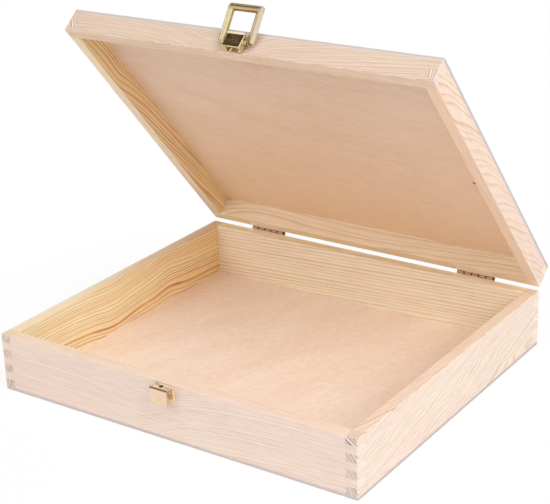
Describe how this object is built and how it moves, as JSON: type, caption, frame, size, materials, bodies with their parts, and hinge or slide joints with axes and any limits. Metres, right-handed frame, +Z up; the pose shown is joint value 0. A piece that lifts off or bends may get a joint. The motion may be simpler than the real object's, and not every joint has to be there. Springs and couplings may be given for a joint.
{
  "type": "wooden memory box",
  "caption": "Shallow pine keepsake box with finger-jointed corners, a hinged lid, a brass draw latch and a catch hook.",
  "frame": {"origin": "middle of the underside of the base, on the surface that the box stands on", "axes": "+X to the right seen from the front, +Y to the back where the hinges are, +Z up; the lid stands 50 degrees open"},
  "size_m": [0.34, 0.3222, 0.3131],
  "materials": {
    "pine": "sanded, unfinished",
    "plywood": "sanded, unfinished",
    "brass": "polished"
  },
  "bodies": {
    "base": {"base_front_board": "pine", "base_back_board": "pine", "base_left_board": "pine", "base_right_board": "pine", "base_bottom_panel": "plywood", "hinge_left_base_leaf": "brass", "hinge_left_pin": "brass", "hinge_right_base_leaf": "brass", "hinge_right_pin": "brass", "hinge_base_screws": "brass", "hook_plate": "brass", "hook_nails": "brass"},
    "lid": {"lid_front_board": "pine", "lid_back_board": "pine", "lid_left_board": "pine", "lid_right_board": "pine", "lid_top_panel": "plywood", "hinge_left_lid_leaf": "brass", "hinge_right_lid_leaf": "brass", "hinge_lid_screws": "brass", "latch_plate": "brass", "latch_plate_nails": "brass"},
    "lever": {"latch_lever": "brass", "lever_pin": "brass"},
    "loop_pins": {"loop_pins": "brass"},
    "loop": {"latch_loop": "brass"}
  },
  "joints": [
    {"name": "lid_hinge", "type": "hinge", "parent": "base", "child": "lid", "pos_m": [0, 0.1509, 0.05055], "axis": [-1, 0, 0], "range_deg": [-50, 130]},
    {"name": "lever_pivot", "type": "hinge", "parent": "lid", "child": "lever", "pos_m": [0, -0.04176, 0.2856], "axis": [1, 0, 0], "range_deg": [0, 97]},
    {"name": "loop_pin_turn", "type": "hinge", "parent": "lever", "child": "loop_pins", "pos_m": [0, -0.03744, 0.28792], "axis": [1, 0, 0], "range_deg": [-97, 0]},
    {"name": "loop_pivot", "type": "hinge", "parent": "loop_pins", "child": "loop", "pos_m": [0, -0.03744, 0.28792], "axis": [1, 0, 0], "range_deg": [-26.5, 158.5]}
  ],
  "couplings": [
    {"joint": "loop_pin_turn", "follows": "lever_pivot", "ratio": -1}
  ]
}
